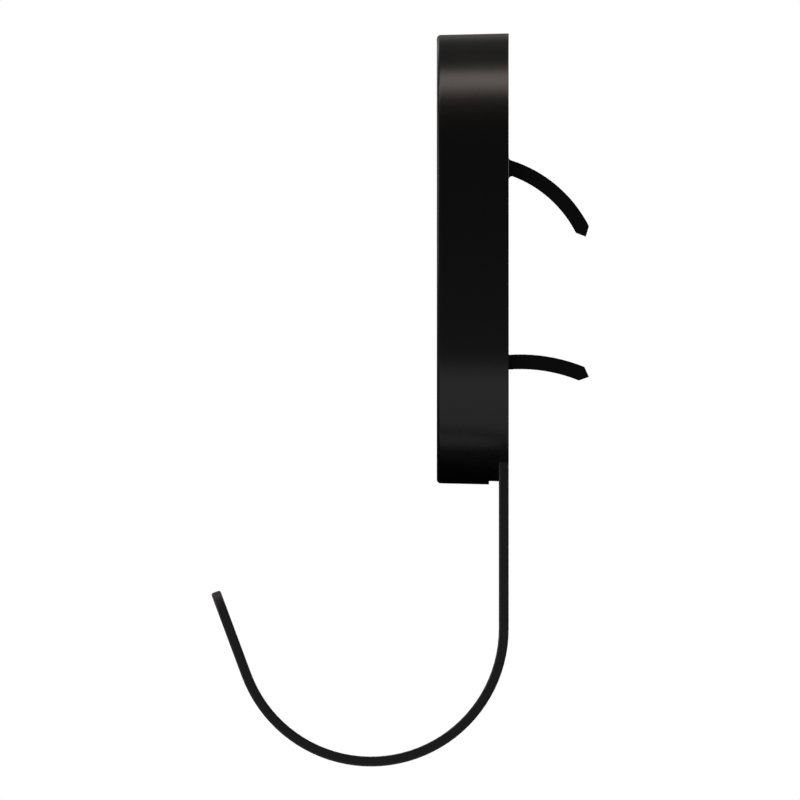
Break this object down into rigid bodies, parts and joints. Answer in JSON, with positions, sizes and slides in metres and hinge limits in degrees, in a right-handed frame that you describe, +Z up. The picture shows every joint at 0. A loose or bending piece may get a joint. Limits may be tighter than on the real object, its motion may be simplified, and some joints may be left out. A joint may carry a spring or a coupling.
{
  "type": "hair dryer holder",
  "caption": "Wall-mounted hair dryer holder: forked J strip with a deep round cradle, a clawed steel wall plate that presses into plasterboard, and a shallow round cover over the plate.",
  "frame": {"origin": "centre of the round cover's back, on the wall plane, where the strip's flat back also lies", "axes": "-Y is the front, facing the room; +Y goes into the wall, the way the claws point; +Z up; X is the width"},
  "size_m": [0.1128, 0.0944, 0.1832],
  "materials": {
    "cover_plastic": "satin black moulded ABS",
    "hook_coat": "fine matte black powder coat on steel strip",
    "claw_steel": "black phosphate on hardened spring steel",
    "rivet_steel": "dull zinc plated steel rivets",
    "screw_steel": "zinc plated thread-forming screws"
  },
  "bodies": {
    "root": {"cover": "cover_plastic", "hook": "hook_coat", "claw_plate": "claw_steel", "rivet_1": "rivet_steel", "rivet_2": "rivet_steel", "rivet_3": "rivet_steel", "rivet_4": "rivet_steel", "cover_screw_1": "screw_steel", "cover_screw_2": "screw_steel", "cover_screw_3": "screw_steel", "cover_screw_4": "screw_steel"}
  },
  "joints": []
}
